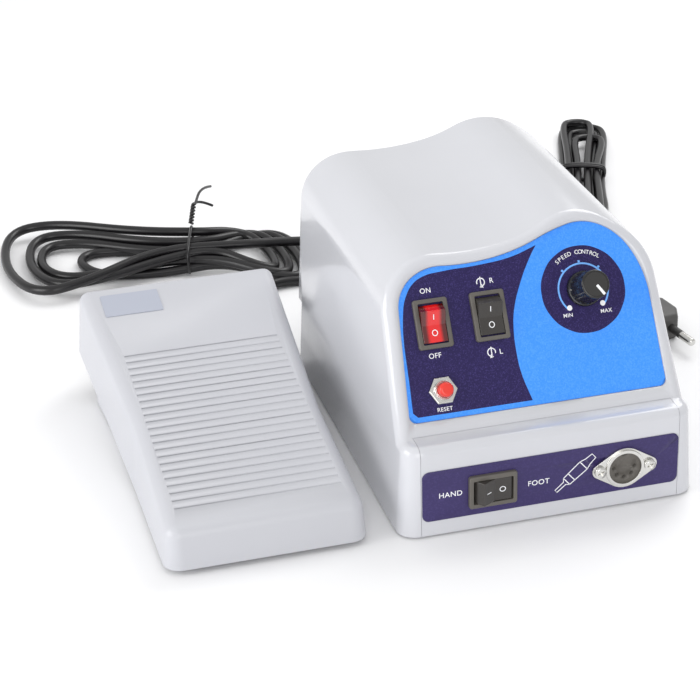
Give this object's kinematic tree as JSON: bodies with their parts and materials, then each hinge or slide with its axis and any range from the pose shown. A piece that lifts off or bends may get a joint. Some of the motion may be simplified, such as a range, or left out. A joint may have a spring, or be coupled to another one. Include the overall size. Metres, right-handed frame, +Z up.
{
  "type": "electric nail drill",
  "caption": "Micromotor nail drill control unit with sloping panel, rocker switches, speed knob and handpiece socket, with foot pedal, pedal cord and mains lead.",
  "frame": {"origin": "on the table, under the middle of the control unit and foot pedal together, cords not counted", "axes": "+X to the right seen from the front, +Y to the back, +Z up"},
  "size_m": [0.3817, 0.4358, 0.1145],
  "materials": {
    "casing_grey": "moulded ABS, glossy",
    "panel_blue": "printed polycarbonate label, fine grain",
    "panel_violet": "printed polycarbonate label",
    "switch_bezel": "moulded nylon",
    "switch_black": "moulded nylon",
    "switch_red": "clear red polycarbonate",
    "knob_black": "moulded ABS",
    "mark_white": "printed",
    "reset_red": "moulded nylon",
    "nickel": "nickel plated",
    "steel": "zinc plated steel",
    "contact_brass": "tinned brass",
    "moulding_black": "moulded nylon",
    "cord_pvc": "soft PVC sheath",
    "winding_copper": "taped enamelled copper",
    "board_green": "epoxy glass laminate",
    "sink_aluminium": "extruded aluminium",
    "foot_rubber": "moulded rubber",
    "pedal_grey": "moulded ABS, satin",
    "plate_blue": "printed label",
    "sensor_white": "moulded acetal"
  },
  "bodies": {
    "base": {"base_tray": "casing_grey", "capacitors": "sink_aluminium", "casing_screws": "steel", "circuit_board": "board_green", "din_contacts": "contact_brass", "din_flange": "nickel", "din_insert": "moulding_black", "din_nuts": "nickel", "din_screws": "nickel", "direction_switch_housing": "switch_bezel", "front_label": "panel_violet", "fuse_cap": "moulding_black", "fuse_holder": "moulding_black", "heat_sink": "sink_aluminium", "mains_gland": "moulding_black", "mains_hank": "cord_pvc", "mains_lead": "cord_pvc", "mains_plug_body": "moulding_black", "mains_plug_pins": "nickel", "mains_tail": "cord_pvc", "mains_tie": "cord_pvc", "mode_switch_housing": "switch_bezel", "panel_label": "panel_blue", "pedal_base": "pedal_grey", "pedal_feet": "foot_rubber", "pedal_gland": "moulding_black", "pedal_hank": "cord_pvc", "pedal_lead": "cord_pvc", "pedal_plug": "moulding_black", "pedal_socket": "nickel", "pedal_tail": "cord_pvc", "pedal_tie": "cord_pvc", "pivot_pin": "steel", "potentiometer_nut": "nickel", "power_switch_housing": "switch_bezel", "rear_panel": "steel", "rear_screws": "nickel", "reset_breaker": "moulding_black", "reset_nut": "nickel", "return_spring": "steel", "rubber_feet": "foot_rubber", "speed_potentiometer": "moulding_black", "speed_sensor": "moulding_black", "switch_terminals": "contact_brass", "transformer_core": "steel", "transformer_screws": "steel", "transformer_strap": "steel", "transformer_winding": "winding_copper", "upper_casing": "casing_grey"},
    "power_rocker": {"power_rocker": "switch_red"},
    "direction_rocker": {"direction_rocker": "switch_black"},
    "mode_rocker": {"mode_rocker": "switch_black"},
    "speed_knob": {"speed_knob": "knob_black", "knob_pointer": "mark_white", "potentiometer_shaft": "steel"},
    "reset_button": {"reset_button": "reset_red"},
    "treadle": {"treadle": "pedal_grey", "pedal_plate": "plate_blue"},
    "sensor_plunger": {"sensor_plunger": "sensor_white"}
  },
  "joints": [
    {"name": "power_switch", "type": "hinge", "parent": "base", "child": "power_rocker", "pos_m": [0.0116, -0.05593, 0.08068], "axis": [-1, 0, 0], "range_deg": [0, 22]},
    {"name": "direction_switch", "type": "hinge", "parent": "base", "child": "direction_rocker", "pos_m": [0.0365, -0.05593, 0.08068], "axis": [-1, 0, 0], "range_deg": [0, 22]},
    {"name": "mode_switch", "type": "hinge", "parent": "base", "child": "mode_rocker", "pos_m": [0.0259, -0.09207, 0.0192], "axis": [0, 0, -1], "range_deg": [0, 22]},
    {"name": "speed_dial", "type": "hinge", "parent": "base", "child": "speed_knob", "pos_m": [0.0795, -0.06016, 0.08965], "axis": [0, -0.8563, 0.5165], "range_deg": [0, 294]},
    {"name": "reset_press", "type": "slide", "parent": "base", "child": "reset_button", "axis": [0, 0.8563, -0.5165], "range_m": [0, 0.002], "stiffness_N_per_m": 500, "springref_m": -0.001},
    {"name": "treadle_press", "type": "hinge", "parent": "base", "child": "treadle", "pos_m": [-0.06934, -0.03167, 0.008], "axis": [-1, 0, 0], "range_deg": [0, 6], "stiffness_Nm_per_rad": 2, "springref_deg": -8.59, "deforming": ["return_spring"]},
    {"name": "sensor_travel", "type": "slide", "parent": "base", "child": "sensor_plunger", "axis": [0, 0, -1], "range_m": [0, 0.0062]}
  ],
  "couplings": [
    {"joint": "sensor_travel", "follows": "treadle_press", "m_per_rad": 0.0577}
  ]
}
